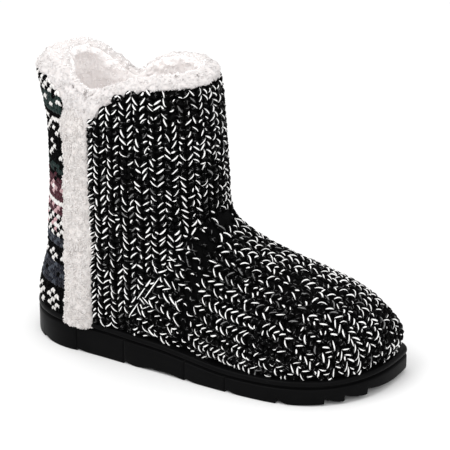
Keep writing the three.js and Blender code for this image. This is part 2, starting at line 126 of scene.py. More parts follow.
def reach(form, x, y, z):
    h = 0.05
    gx = form(x + h, y, z) - form(x - h, y, z)
    gy = form(x, y + h, z) - form(x, y - h, z)
    gz = form(x, y, z + h) - form(x, y, z - h)
    return form(x, y, z) / np.maximum(np.sqrt(gx * gx + gy * gy + gz * gz) / (2 * h), 4e-3)


def upper(p):
    x, y, z = p[..., 0], p[..., 1], p[..., 2]
    a, b = reach(foot_form, x, y, z), reach(shaft_form, x, y, z)
    k = BEND_FLANK + BEND_INSTEP * np.exp(-(y / BEND_SPREAD) ** 2)
    h = np.maximum(0, k - np.abs(a - b)) / k
    return np.minimum(a, b) - h * h * k / 4


def slope(p):
    g = np.zeros_like(p)
    for i in range(3):
        e = np.zeros(3)
        e[i] = 0.1
        g[..., i] = upper(p + e) - upper(p - e)
    return unit(g)


def unit(v):
    return v / np.maximum(np.linalg.norm(v, axis=-1, keepdims=True), 1e-9)


def cast(c, d, level=0.0, far=215.0):
    lo = np.zeros(c.shape[:-1])
    hi = np.full(c.shape[:-1], far)
    for _ in range(17):
        m = (lo + hi) / 2
        inside = upper(c + d * m[..., None]) < level
        lo, hi = np.where(inside, m, lo), np.where(inside, hi, m)
    return c + d * ((lo + hi) / 2)[..., None]


# ------------------------------------------------------------------ mesh helpers
RNG = np.random.default_rng(20261)


def to_m(p):
    return (np.asarray(p, float) + MOVE) * 0.001


def make(name, parts, mats, body="root", stands_for=()):
    """One object from a list of (vertices in mm, faces, material index)."""
    verts, faces, index, base = [], [], [], 0
    for v, f, m in parts:
        v = np.asarray(v, float).reshape(-1, 3)
        verts.append(v)
        for block in (f if isinstance(f, list) else [f]):
            block = np.asarray(block)
            if len(block) == 0:
                continue
            faces.extend((block + base).tolist())
            index.append(np.full(len(block), m) if np.isscalar(m) else np.asarray(m))
        base += len(v)
    me = bpy.data.meshes.new(name)
    me.from_pydata(to_m(np.concatenate(verts)).tolist(), [], faces)
    for m in mats:
        me.materials.append(m)
    me.polygons.foreach_set("material_index", np.concatenate(index).astype(np.int32))
    me.polygons.foreach_set("use_smooth", np.ones(len(me.polygons), bool))
    me.update()
    ob = bpy.data.objects.new(name, me)
    bpy.context.scene.collection.objects.link(ob)
    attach(ob, body)
    if stands_for:
        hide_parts(*stands_for)
    return ob


def grid_faces(rows, cols, closed=False, start=0, flip=False):
    i, j = np.meshgrid(np.arange(rows - 1), np.arange(cols if closed else cols - 1), indexing="ij")
    k = (j + 1) % cols
    q = np.stack([i * cols + j, i * cols + k, (i + 1) * cols + k, (i + 1) * cols + j], -1).reshape(-1, 4) + start
    return q[:, ::-1] if flip else q


def tubes(path, normal, wide, thick, sides):
    """Many closed tubes at once. path and normal are (n, m, 3), wide and thick (n, m)."""
    n, m = path.shape[:2]
    t = unit(np.gradient(path, axis=1))
    b = unit(np.cross(normal, t))
    nn = np.cross(t, b)
    a = np.linspace(0, 2 * np.pi, sides, endpoint=False)
    ring = path[:, :, None] + b[:, :, None] * (wide[..., None] * np.cos(a))[..., None] + nn[:, :, None] * (thick[..., None] * np.sin(a))[..., None]
    verts = ring.reshape(-1, 3)
    side = grid_faces(m, sides, True)
    quads = (side[None] + (np.arange(n) * m * sides)[:, None, None]).reshape(-1, 4)
    cap = np.arange(sides)
    ends = np.concatenate([(cap[::-1][None] + (np.arange(n) * m * sides)[:, None]), (cap[None] + (np.arange(n) * m * sides + (m - 1) * sides)[:, None])])
    return verts, [quads, ends]


def lattice(p, seed):
    """Smooth value noise in three dimensions, about -1 to 1."""
    p = np.asarray(p, float)
    i = np.floor(p).astype(np.int64)
    f = p - i
    f = f * f * (3 - 2 * f)
    out = 0
    for dx in (0, 1):
        for dy in (0, 1):
            for dz in (0, 1):
                h = (i[..., 0] + dx) * 374761393 + (i[..., 1] + dy) * 668265263 + (i[..., 2] + dz) * 2147483647 + seed * 974711
                h = (h ^ (h >> 13)) * 1274126177
                h = (h ^ (h >> 16)) & 0xFFFF
                w = (f[..., 0] if dx else 1 - f[..., 0]) * (f[..., 1] if dy else 1 - f[..., 1]) * (f[..., 2] if dz else 1 - f[..., 2])
                out = out + w * (h / 32767.5 - 1)
    return out


def pile(p, seed):
    """Height of curly pile: rounded lumps with finer ones on them."""
    a = lattice(p / 5.2, seed)
    b = lattice(p / 2.6 + 31.7, seed + 1)
    c = lattice(p / 1.5 + 77.1, seed + 2)
    return 1.1 * (1 - np.abs(a) * 1.6) + 0.75 * (1 - np.abs(b) * 1.7) + 0.35 * c


# ------------------------------------------------------------------ materials
def material(name, colour, rough, vary=0.0, vary_scale=80.0, bump=0.0, bump_scale=600.0, sheen=0.0, spec=0.3, second=None, detail=4.0, coat=0.0, low=0.32, high=0.68, glow=0.0, soft=0.0):
    m = bpy.data.materials.new(name)
    m.use_nodes = True
    nt = m.node_tree
    nt.nodes.clear()
    out = nt.nodes.new("ShaderNodeOutputMaterial")
    bs = nt.nodes.new("ShaderNodeBsdfPrincipled")
    nt.links.new(bs.outputs[0], out.inputs[0])
    bs.inputs["Base Color"].default_value = (*colour, 1)
    bs.inputs["Roughness"].default_value = rough
    bs.inputs["Specular IOR Level"].default_value = spec
    bs.inputs["Sheen Weight"].default_value = sheen
    bs.inputs["Sheen Roughness"].default_value = 0.5
    bs.inputs["Coat Weight"].default_value = coat
    if soft > 0:
        bs.inputs["Subsurface Weight"].default_value = soft
        bs.inputs["Subsurface Radius"].default_value = (1.0, 0.9, 0.85)
        bs.inputs["Subsurface Scale"].default_value = 0.003
    # glow: emission in the surface's own colour, painted light from a surface that is no lamp
    if glow > 0:
        bs.inputs["Emission Color"].default_value = (*colour, 1)
        bs.inputs["Emission Strength"].default_value = glow
    co = nt.nodes.new("ShaderNodeTexCoord")
    if vary > 0:
        no = nt.nodes.new("ShaderNodeTexNoise")
        no.inputs["Scale"].default_value = vary_scale
        no.inputs["Detail"].default_value = 5
        nt.links.new(co.outputs["Object"], no.inputs["Vector"])
        ramp = nt.nodes.new("ShaderNodeValToRGB")
        other = second or tuple(c * (1 - vary) for c in colour)
        ramp.color_ramp.elements[0].position = low
        ramp.color_ramp.elements[1].position = high
        ramp.color_ramp.elements[0].color = (*other, 1)
        ramp.color_ramp.elements[1].color = (*colour, 1)
        nt.links.new(no.outputs["Fac"], ramp.inputs["Fac"])
        nt.links.new(ramp.outputs["Color"], bs.inputs["Base Color"])
    if bump > 0:
        nb = nt.nodes.new("ShaderNodeTexNoise")
        nb.inputs["Scale"].default_value = bump_scale
        nb.inputs["Detail"].default_value = detail
        nt.links.new(co.outputs["Object"], nb.inputs["Vector"])
        bp = nt.nodes.new("ShaderNodeBump")
        bp.inputs["Strength"].default_value = bump
        bp.inputs["Distance"].default_value = 0.001
        nt.links.new(nb.outputs["Fac"], bp.inputs["Height"])
        nt.links.new(bp.outputs["Normal"], bs.inputs["Normal"])
    return m


yarn_black = material("yarn_black", (0.013, 0.013, 0.013), 0.95, 0.5, 1150, 0.6, 1400, 0.0, 0.03, second=(0.0010, 0.0010, 0.0011), low=0.50, high=0.74)
yarn_white = material("yarn_white", (0.93, 0.925, 0.915), 0.9, 0.08, 500, 0.5, 1500, 0.2, 0.2)
yarn_grey = material("yarn_grey", (0.20, 0.20, 0.20), 0.92, 0.4, 600, 0.5, 1500, 0.1, 0.2)
yarn_speck = material("yarn_speck", (0.16, 0.16, 0.16), 0.92, 0.6, 300, 0.5, 1500, 0.0, 0.1)
backing = material("knit_backing", (0.003, 0.003, 0.0032), 0.97, 0.4, 400, 0.5, 900, 0.0, 0.05)
CHART_COLOURS = {
    "K": yarn_black,
    "W": material("band_white", (0.84, 0.82, 0.80), 0.9, 0.2, 500, 0.5, 1500, 0.2, 0.2),
    "M": material("band_maroon", (0.070, 0.012, 0.022), 0.92, 0.45, 500, 0.5, 1500, 0.1, 0.2),
    "P": material("band_pink", (0.62, 0.40, 0.42), 0.92, 0.3, 500, 0.5, 1500, 0.15, 0.2),
    "N": material("band_navy", (0.006, 0.008, 0.017), 0.92, 0.45, 500, 0.5, 1500, 0.1, 0.2),
    "B": material("band_blue", (0.055, 0.065, 0.085), 0.92, 0.35, 500, 0.5, 1500, 0.1, 0.2),
    "T": material("band_teal", (0.005, 0.022, 0.019), 0.92, 0.45, 500, 0.5, 1500, 0.1, 0.2),
}
fleece = material("fleece", (0.71, 0.67, 0.65), 1.0, 0.1, 160, 0.3, 900, 0.1, 0.05, second=(0.665, 0.625, 0.605), soft=0.3)
# a darker copy of the same fleece for the collar roll: painted shade that tones down the roll, whose top takes the
# strong light from above
fleece_rim_shaded = material("fleece_rim_shaded", (0.66, 0.625, 0.615), 1.0, 0.1, 160, 0.3, 900, 0.1, 0.05, second=(0.63, 0.595, 0.585), soft=0.3)
# the lining: a lighter copy of the fleece that also emits light; painted light that brightens the shaded inside of the
# boot
fleece_in_lit = material("fleece_lining_lit", (0.80, 0.765, 0.755), 1.0, 0.1, 120, 0.3, 900, 0.25, 0.1, second=(0.77, 0.735, 0.725), glow=0.17, soft=0.3)
footbed = material("fleece_footbed", (0.80, 0.77, 0.75), 1.0, 0.1, 120, 0.6, 900, 0.25, 0.15)
rubber = material("rubber_black", (0.003, 0.003, 0.0032), 0.38, 0.3, 60, 0.08, 1800, 0.0, 0.034, detail=6)

# ------------------------------------------------------------------ the surface, sampled once
Z_LEVELS = np.arange(12.0, 216.1, 2.0)
ANGLES = np.radians(np.arange(-180.0, 180.1, 2.0))
SC = np.zeros((len(Z_LEVELS), len(ANGLES), 3))
SC[..., 0] = AXIS_X
SC[..., 2] = Z_LEVELS[:, None]
SD = np.zeros_like(SC)
SD[..., 0] = np.cos(ANGLES)
SD[..., 1] = np.sin(ANGLES)
LEVEL_P = cast(SC, SD)
LEVEL_N = slope(LEVEL_P)


class Patch:
    """Points and normals on a regular grid of two coordinates, read between the grid lines."""

    def __init__(self, u0, du, v0, dv, p, n):
        self.u0, self.du, self.v0, self.dv, self.p, self.n = u0, du, v0, dv, p, n

    def at(self, u, v):
        i = np.clip((np.asarray(u) - self.u0) / self.du, 0, self.p.shape[0] - 1.0001)
        j = np.clip((np.asarray(v) - self.v0) / self.dv, 0, self.p.shape[1] - 1.0001)
        i0, j0 = np.floor(i).astype(int), np.floor(j).astype(int)
        a, b = (i - i0)[..., None], (j - j0)[..., None]

        def mix(g):
            return (g[i0, j0] * (1 - a) * (1 - b) + g[i0 + 1, j0] * a * (1 - b) + g[i0, j0 + 1] * (1 - a) * b + g[i0 + 1, j0 + 1] * a * b)
        return mix(self.p), unit(mix(self.n))


AROUND_PATCH = Patch(Z_LEVELS[0], 2.0, -180.0, 2.0, LEVEL_P, LEVEL_N)


def resample(points, normals, where, start, step, count):
    """Walk along each row of points and read it at equal steps of length."""
    out_p, out_n = [], []
    grid = start + step * np.arange(count)
    for p, n, w in zip(points, normals, where):
        out_p.append(np.stack([np.interp(grid, w, p[:, k]) for k in range(3)], -1))
        out_n.append(np.stack([np.interp(grid, w, n[:, k]) for k in range(3)], -1))
    return np.array(out_p), unit(np.array(out_n))


STRIP_X = 50.5


def flank(side):
    """Outer or inner side: height, and distance forward of the middle of the strip."""
    order = np.where((np.degrees(ANGLES) * side >= -0.1) & (np.degrees(ANGLES) * side <= 150.1))[0]
    order = order[np.argsort(-np.abs(ANGLES[order]))]
    p, n = LEVEL_P[:, order], LEVEL_N[:, order]
    run = np.concatenate([np.zeros((len(p), 1)), np.cumsum(np.linalg.norm(np.diff(p, axis=1), axis=-1), axis=1)], 1)
    zero = np.array([np.interp(STRIP_X, p[i, :, 0], run[i]) for i in range(len(p))])
    run = run - zero[:, None]
    q, m = resample(p, n, run, -26.0, 1.0, 230)
    return Patch(Z_LEVELS[0], 2.0, -26.0, 1.0, q, m), run[:, -1]


FLANK = {side: flank(side) for side in (-1, 1)}


def rear():
    """Back panel: height, and distance from the back seam line, outer side negative."""
    deg = np.degrees(ANGLES)
    a = np.where(deg <= -100)[0][::-1]
    b = np.where((deg >= 100) & (deg < 179))[0][::-1]
    order = np.concatenate([a, b])
    p, n = LEVEL_P[:, order], LEVEL_N[:, order]
    run = np.concatenate([np.zeros((len(p), 1)), np.cumsum(np.linalg.norm(np.diff(p, axis=1), axis=-1), axis=1)], 1)
    run = run - run[:, [len(a) - 1]]
    q, m = resample(p, n, run, -80.0, 1.0, 161)
    return Patch(Z_LEVELS[0], 2.0, -80.0, 1.0, q, m)


REAR = rear()

# Vamp: planes that fan out from a line under the foot, from the instep to the toe.
PIVOT = (102.0, -180.0)
FAN = np.radians(np.arange(104.0, 49.4, -0.75))
BEHIND = np.radians(82.25)
SPREAD = np.radians(np.arange(0.0, 122.1, 2.0))


def fan(side):
    ground = 24.0
    dist = np.minimum((ground - PIVOT[1]) / np.sin(FAN), (240.0 - PIVOT[0]) / np.maximum(np.cos(FAN), 0.05))
    ox = PIVOT[0] + dist * np.cos(FAN)
    oz = PIVOT[1] + dist * np.sin(FAN)
    toe = np.clip((ox - TOE_START * LENGTH) / (LAST_TOE - TOE_START * LENGTH), 0, 1)
    oy = TOE_SWING * (0.2 * toe ** 2 + 0.58 * toe ** 6)
    c = np.zeros((len(FAN), len(SPREAD), 3))
    c[..., 0], c[..., 1], c[..., 2] = ox[:, None], oy[:, None], oz[:, None]
    d = np.zeros_like(c)
    d[..., 0] = np.cos(FAN)[:, None] * np.cos(SPREAD)
    d[..., 2] = np.sin(FAN)[:, None] * np.cos(SPREAD)
    d[..., 1] = side * np.sin(SPREAD)
    p = cast(c, d, far=190.0)
    n = slope(p)
    return p, n


def vamp(side):
    """Rows fan forward from the instep; columns are distance down from the ridge."""
    p, n = fan(side)
    rows = len(FAN)
    run = np.concatenate([np.zeros((rows, 1)), np.cumsum(np.linalg.norm(np.diff(p, axis=1), axis=-1), axis=1)], 1)
    # length of each section from the ridge to the sole
    half = np.zeros(rows)
    for i in range(rows):
        gap = p[i, :, 2] - (sole_top(p[i, :, 0]) + 0.3)
        k = np.where(gap < 0)[0]
        k = k[0] if len(k) else len(SPREAD) - 1
        if k > 0 and gap[k] < 0:
            f = gap[k - 1] / (gap[k - 1] - gap[k])
            half[i] = run[i, k - 1] + f * (run[i, k] - run[i, k - 1])
        else:
            half[i] = run[i, k]
    first = int(np.argmin(np.abs(FAN - BEHIND)))
    where = run.copy()
    for i in range(first):
        away = (p[first, len(SPREAD) // 2, 0] - p[i, len(SPREAD) // 2, 0])
        where[i] = run[i] - half[i] + half[first] + 0.34 * away
        half[i] = half[first] + 0.34 * away
    q, m = resample(p, n, where, -4.0, 1.0, 190)
    return Patch(0.0, 1.0, -4.0, 1.0, q, m), half, p[:, 19]


VAMP = {side: vamp(side) for side in (-1, 1)}


# ------------------------------------------------------------------ knit
ROW, WALE_COUNT, VAMP_ROW, VAMP_WALE = 4.7, 11, 4.9, 10.6
BAND_Z = 108.0
FIRST_ROW = 21.0


def pile_back(z):
    """Back edge of the strip's pile; it spreads towards the collar."""
    return st_b(z) - 2.6 * (1 - smooth(28.0, 62.0, z)) - 6.0 * smooth(138.0, 166.0, z)


def pile_front(z):
    return st_f(z) - 2.6 * (1 - smooth(28.0, 62.0, z)) + 0.8 * smooth(62.0, 80.0, z) * (1 - smooth(120.0, 140.0, z))


def mitre(z):
    """Side view line where the shaft knit meets the vamp knit."""
    return np.interp(z, (24.6, 38.0, 74.4, 104.0, 112.0), (89.0, 93.8, 116.6, 141.0, 150.0))


def shaft_map(side):
    patch, half = FLANK[side]
    fixed = np.interp(BAND_Z, Z_LEVELS, half) / WALE_COUNT

    def f(w, r):
        z = FIRST_ROW + ROW * r
        pitch = np.where(z > BAND_Z, np.interp(z, Z_LEVELS, half) / WALE_COUNT, fixed)
        return patch.at(z, w * pitch)
    return f


def vamp_map(side):
    patch, half, ridge = VAMP[side]
    first = int(np.argmin(np.abs(FAN - BEHIND)))
    run = np.concatenate([[0], np.cumsum(np.linalg.norm(np.diff(ridge[first:], axis=0), axis=-1))]) / VAMP_ROW
    lead = np.arange(-first, 0) * (np.radians(0.75) * 232.0 / VAMP_ROW)
    rho = np.concatenate([lead, run])

    def f(w, r):
        i = np.interp(-r, rho, np.arange(len(rho)))
        return patch.at(i, w * VAMP_WALE)
    return f, rho


def rear_map(count, row, z0):
    width = np.array([np.interp(50.0, REAR.p[i, 80:, 0], np.arange(81)) for i in range(len(Z_LEVELS))])

    def f(w, r):
        z = z0 + row * r
        half = np.interp(z, Z_LEVELS, width)
        return REAR.at(z, w * (2 * half / count) - half)
    return f


def legs(fn, w, r, sign, rng, segs=7, reach_u=0.45, top=0.74, drop=1.34, gap=0.03, low=-2.3, high=1.9):
    """Centre lines of stitch legs: they meet at the apex and part away from it."""
    t = np.linspace(0, 1, segs)[None]
    n = len(w)
    ju, jv = rng.normal(0, 0.018, (n, 1)), rng.normal(0, 0.045, (n, 1))
    bow = rng.normal(0.05, 0.03, (n, 1))
    u = w[:, None] + 0.5 + ju + sign[:, None] * (gap + reach_u * t)
    v = r[:, None] + jv + top - drop * t + bow * np.sin(np.pi * t)
    p, nn = fn(u, v)
    lift = low + (high + rng.normal(0, 0.12, (n, 1))) * np.sin(np.pi * np.clip(t, 0.0, 1.0)) ** 0.75
    return p + nn * lift[..., None], nn


def yarn(path, nn, wide, thick, sides):
    m = path.shape[1]
    t = np.linspace(0, 1, m)[None]
    body = (0.50 + 0.50 * np.sin(np.pi * t) ** 0.6) * np.ones((len(path), 1))
    return tubes(path, nn, wide * body, thick * body, sides)


def plies(path, nn, wide, thick, rng, sign, span=(0.06, 0.82), width=0.465, segs=6, slant=0.0, sides=6):
    """A light ply lying across the outer face of each leg."""
    n, m = path.shape[:2]
    a = span[0] + rng.normal(0, 0.08, n)
    b = a + span[1] - span[0] + rng.normal(0, 0.1, n)
    cut = rng.random(n)
    b = np.where(cut < 0.17, a + 0.34, b)
    a = np.where(cut > 0.85, b - 0.36, a)
    turn = rng.normal(slant, 0.26, (n, 1))
    s = np.linspace(0, 1, segs)[None]
    q = np.clip(a[:, None] + (b - a)[:, None] * s, 0.02, 0.98) * (m - 1)
    i = np.clip(np.floor(q).astype(int), 0, m - 2)
    f = (q - i)[..., None]
    k = np.arange(n)[:, None]
    p = path[k, i] * (1 - f) + path[k, i + 1] * f
    no = unit(nn[k, i] * (1 - f) + nn[k, i + 1] * f)
    t = unit(np.gradient(p, axis=1))
    side = unit(np.cross(no, t))
    bow = rng.normal(0, 0.16, (n, 1)) * np.sin(np.pi * s)
    across = np.clip((turn * (2 * s - 1) + bow + rng.normal(0, 0.15, (n, 1))) * sign[:, None], -0.85, 0.85)
    fall = np.sqrt(np.clip(1 - across ** 2, 0, 1))
    p = p + side * (wide * across)[..., None] + no * (thick * fall * 0.92)[..., None]
    taper = (0.35 + 0.65 * np.sin(np.pi * (0.06 + 0.88 * s)) ** 0.7)
    w = width * np.clip(1 + rng.normal(0, 0.2, (n, 1)), 0.55, 1.4) * taper
    return tubes(p, no, w, w * 0.8, sides)


def patches(p, seed):
    """Where the light ply shows, is dull, or is hidden inside the yarn."""
    return lattice(p / 23.0, seed) + 0.6 * lattice(p / 9.0, seed + 5)


def knit(name, fn, keep, wales, rows, rng, seed, top, drop, thread=None):
    w, r = np.meshgrid(wales, rows, indexing="ij")
    w, r = w.ravel().astype(float), r.ravel().astype(float)
    p, _ = fn(w + 0.5, r)
    ok = keep(p)
    w, r = w[ok], r[ok]
    sign = np.concatenate([np.ones(len(w)), -np.ones(len(w))])
    w, r = np.concatenate([w, w]), np.concatenate([r, r])
    path, nn = legs(fn, w, r, sign, rng, top=top, drop=drop)
    span = np.linalg.norm(np.diff(path, axis=1), axis=-1).sum(axis=1)
    good = (span > 4.0) & (span < 11.5) & ((path[..., 2] - sole_top(path[..., 0])).min(axis=1) > -4.6)
    w, sign, path, nn = w[good], sign[good], path[good], nn[good]
    near = crease(path)
    # the vamp settles a little behind the toe
    sag = 1.9 * np.exp(-((path[..., 0] - 214.0) / 34.0) ** 2) * smooth(0.35, 0.9, nn[..., 2])
    path = path - nn * (1.5 * near + sag)[..., None]
    wide, thick = 1.85, 1.5
    dark = yarn(path, nn, wide, thick, 6)
    show = rng.random(len(w)) + 0.33 * patches(path[:, 3], seed) - 0.55 * near[:, 3] * smooth(82.0, 66.0, path[:, 3, 2])
    bright = show > 0.195
    dull = (show > 0.13) & ~bright
    parts = [(*dark, 0)]
    light = []
    for mask, m in ((bright, 1), (dull, 2)):
        if mask.any():
            v, f = plies(path[mask], nn[mask], wide, thick, rng, sign[mask])
            light.append((v, f, m - 1))
    for slant, at, sides in ((0.5, rng.uniform(0.1, 0.75), 4), (-0.6, rng.uniform(0.1, 0.75), 3)):
        speck = rng.random(len(w)) < 0.95
        v, f = plies(path[speck], nn[speck], wide, thick, rng, sign[speck], span=(at, at + 0.2), width=0.27, segs=3, slant=slant, sides=sides)
        light.append((v, f, 2))
    if thread is not None:
        light.append((*thread, 0))
    make(name, parts, [yarn_black])
    make(name + "_flecks", light, [yarn_white, yarn_grey, yarn_speck])
    return path


def crease(p):
    """Nearness to the join of shaft and vamp: a soft trough down each side."""
    z = p[..., 2]
    gap = (p[..., 0] - mitre(z)) * 0.82
    return np.exp(-(gap / 3.6) ** 2) * smooth(112.0, 92.0, z)


def seam_threads(side):
    """Long light threads that lie in the trough."""
    patch, _ = FLANK[side]
    rows = []
    for z0, z1, shift in ((68.5, 53.0, 0.3), (60.0, 51.0, -4.2), (47.5, 36.0, -1.8)):
        z = np.linspace(z0, z1, 7)
        rows.append((z, mitre(z) + shift))
    z = np.array([r[0] for r in rows])
    x = np.array([r[1] for r in rows])
    run = np.arange(-26.0, 204.0, 1.0)
    e = np.zeros_like(x)
    for i in range(z.shape[0]):
        for j in range(z.shape[1]):
            k = int(round((z[i, j] - Z_LEVELS[0]) / 2.0))
            line = patch.p[k, :, 0]
            top = int(np.argmax(line))
            e[i, j] = np.interp(x[i, j], line[: top + 1], run[: top + 1])
    p, n = patch.at(z, e)
    t = np.linspace(0, 1, 7)[None]
    w = 0.42 * (0.4 + 0.6 * np.sin(np.pi * (0.08 + 0.84 * t))) * np.ones((len(p), 1))
    return tubes(p + n * 0.35, n, w, w * 0.8, 6)


def build_knit():
    for side, label in ((-1, "outer"), (1, "inner")):
        rng = np.random.default_rng(31 + side)

        def keep(p):
            x, z = p[..., 0], p[..., 2]
            return (x < mitre(z) + 0.5) & (z < c_knit(x) - 0.6) & (x > pile_front(z) + 1.0) & (z > sole_top(x) - 2.2)
        knit("knit_shaft_" + label, shaft_map(side), keep, np.arange(0, WALE_COUNT), np.arange(0, 40), rng, 401 + side, 0.62, 1.14, seam_threads(side))

        fn, rho = vamp_map(side)

        def keep_vamp(p):
            x, z = p[..., 0], p[..., 2]
            return (x > mitre(z) - 0.5) & (z > sole_top(x) - 2.6 + 1.7 * smooth(215.0, 245.0, x))
        knit("knit_vamp_" + label, fn, keep_vamp, np.arange(0, 15), np.arange(-int(rho[-1]), int(-rho[0])), rng, 431 + side, 0.70, 1.24)


# Back panel: bands of small traditional motifs, charted from the heel up, 8 stitches to a repeat.
CHART = (
    "KWKKKWKK", "WKWKWKWK", "KWKKKWKK", "WKWKWKWK", "KWKKKWKK",
    "KKKKKKKK", "NBNNNBNN", "NNBNNNBN", "KNNBKNNB", "NNBNNNBN", "NBNNNBNN",
    "KKWKKKWK", "KWKWKWKW", "KKWKKKWK", "KKKKKKKK",
    "NBNBNBNB", "BNBNBNBN",
    "WKWKWKWK", "KPKWKPKW", "WWPKWWPK", "KPKWKPKW", "WKWKWKWK",
    "MPMMMPMM", "PMPMPMPM",
    "WWWWWWWW",
    "MMMMMMMM", "MMPMMMPM", "MPWPMPWP", "MMPMMMPM", "MKMMMKMM", "KMKKKMKK",
    "TKTTTKTT", "TTTKTTTK",
    "KKKKKKKK", "KKKWKKKW", "KKWKKKWK", "KWKKKWKK", "KKWKKKWK", "KKKKKKKK",
    "WKKKWKKK", "KWKWKWKW", "KKWKKKWK", "WWKWWWKW", "KKKKKKKK",
    "TTTTTTTT", "TWTTTWTT", "TTTWTTTW", "KTTTKTTT",
    "KWKWKWKW", "WKWKWKWK", "KWKWKWKW", "WKWKWKWK", "KKKKKKKK",
)


def build_back():
    rng = np.random.default_rng(77)
    count, row, z0 = 30, 3.34, 25.0
    fn = rear_map(count, row, z0)
    w, r = np.meshgrid(np.arange(0, count), np.arange(len(CHART)), indexing="ij")
    w, r = w.ravel(), r.ravel()
    p, _ = fn(w + 0.5, r.astype(float))
    ok = (p[:, 2] < c_knit(p[:, 0]) - 0.5 - 4.5 * (1 - smooth(5.0, 30.0, p[:, 0]))) & (p[:, 0] < pile_back(p[:, 2]) + 1.5)
    w, r = w[ok], r[ok]
    colour = np.array([CHART[b][a % 8] for a, b in zip(w, r)])
    sign = np.concatenate([np.ones(len(w)), -np.ones(len(w))])
    colour = np.concatenate([colour, colour])
    w, r = np.concatenate([w, w]).astype(float), np.concatenate([r, r]).astype(float)
    path, nn = legs(fn, w, r, sign, rng, segs=5, reach_u=0.40, top=0.62, drop=1.24, gap=0.10, low=-1.3, high=1.4)
    parts, mats = [], []
    for key, m in CHART_COLOURS.items():
        mask = colour == key
        if mask.any():
            v, f = yarn(path[mask], nn[mask], 1.0, 0.95, 6)
            parts.append((v, f, len(mats)))
            mats.append(m)
    make("knit_back", parts, mats)


# ------------------------------------------------------------------ shell under the knit and the lining
def grid_normals(p, closed=False):
    """Normals of a grid of points, rows by columns."""
    du = np.gradient(p, axis=0)
    if closed:
        dv = (np.roll(p, -1, 1) - np.roll(p, 1, 1)) / 2
    else:
        dv = np.gradient(p, axis=1)
    return unit(np.cross(dv, du))


def build_shell():
    deg = np.arange(-180.0, 180.0, 3.0)
    rows = 64
    # up the outside from the sole to the edge of the knit, over it and down the inside
    zs = np.linspace(0, 1, rows)
    rad = np.radians(deg)
    x = np.full(len(deg), 77.0)
    top = np.full(len(deg), 196.0)
    for _ in range(4):
        q, _n = AROUND_PATCH.at(top, deg)
        top = c_knit(q[:, 0]) - 1.0 - 6.0 * (1 - smooth(5.0, 34.0, q[:, 0]))
    foot = sole_top(AROUND_PATCH.at(np.full(len(deg), 24.0), deg)[0][:, 0])
    z = (foot - 2.0)[None] + (top - foot + 2.0)[None] * zs[:, None]
    c = np.zeros((rows, len(deg), 3))
    c[..., 0], c[..., 2] = AXIS_X, z
    d = np.zeros_like(c)
    d[..., 0], d[..., 1] = np.cos(rad), np.sin(rad)
    out = cast(c, d, -2.5)
    z_in = (foot + 3.0)[None] + (top - foot - 3.0)[None] * zs[:, None]
    c[..., 2] = z_in
    inn = cast(c, d, -7.6)
    inn = inn + unit(inn - c) * (0.5 * pile(inn, 61))[..., None]
    n = len(deg)
    v = np.concatenate([out.reshape(-1, 3), inn.reshape(-1, 3)])
    fo = grid_faces(rows, n, True)
    fi = grid_faces(rows, n, True, rows * n, True)
    j = np.arange(n)
    k = (j + 1) % n
    rim = np.stack([(rows - 1) * n + j, (rows - 1) * n + k, rows * n + (rows - 1) * n + k, rows * n + (rows - 1) * n + j], -1)
    low = np.stack([j, rows * n + j, rows * n + k, k], -1)
    f = np.concatenate([fo, fi, rim, low])
    # the inner face and the rim of the shell take the glowing lining copy: painted light inside the boot
    m = np.concatenate([np.zeros(len(fo)), np.ones(len(fi)), np.ones(len(rim)), np.zeros(len(low))])
    make("upper_shell", [(v, f, m)], [backing, fleece_in_lit], stands_for=("upper",))


# ------------------------------------------------------------------ fleece
def tufts(p, n, length, radius, rng, lean=0.75, sides=4):
    """Short curled locks standing on a surface."""
    k = len(p)
    a = unit(np.cross(n, unit(rng.normal(0, 1, (k, 3)))))
    b = unit(np.cross(n, unit(rng.normal(0, 1, (k, 3)))))
    t = np.linspace(0, 1, 5)[None, :, None]
    ln = length[:, None, None]
    path = p[:, None] - n[:, None] * 0.8 + ln * (n[:, None] * (0.95 * t - 0.22 * t * t) + a[:, None] * lean * t * t + b[:, None] * 0.45 * np.sin(np.pi * t) * t)
    taper = np.array([1.0, 1.05, 0.86, 0.58, 0.12])[None] * radius[:, None]
    ref = unit(np.cross(a, n) + 0.3 * n)
    return tubes(path, np.broadcast_to(ref[:, None], path.shape), taper, taper, sides)


def scatter(p, closed, count, rng, flip=False, weight=None):
    """Random places on a grid of points, even over its area."""
    n = grid_normals(p, closed) * (-1 if flip else 1)
    rows, cols = p.shape[:2]
    q = np.roll(p, -1, 1) if closed else p
    lim = cols if closed else cols - 1
    e1 = p[1:, :lim] - p[:-1, :lim]
    e2 = (q[:-1, :lim] if closed else p[:-1, 1:]) - p[:-1, :lim]
    area = np.linalg.norm(np.cross(e1, e2), axis=-1)
    if weight is not None:
        area = area * weight[:-1, :lim]
    pick = rng.choice(area.size, count, p=(area / area.sum()).ravel())
    i, j = pick // lim, pick % lim
    a, b = rng.random((count, 1)), rng.random((count, 1))
    j2 = (j + 1) % cols
    pos = p[i, j] * (1 - a) * (1 - b) + p[i + 1, j] * a * (1 - b) + p[i, j2] * (1 - a) * b + p[i + 1, j2] * a * b
    return pos, unit(n[i, j] + n[i + 1, j2])


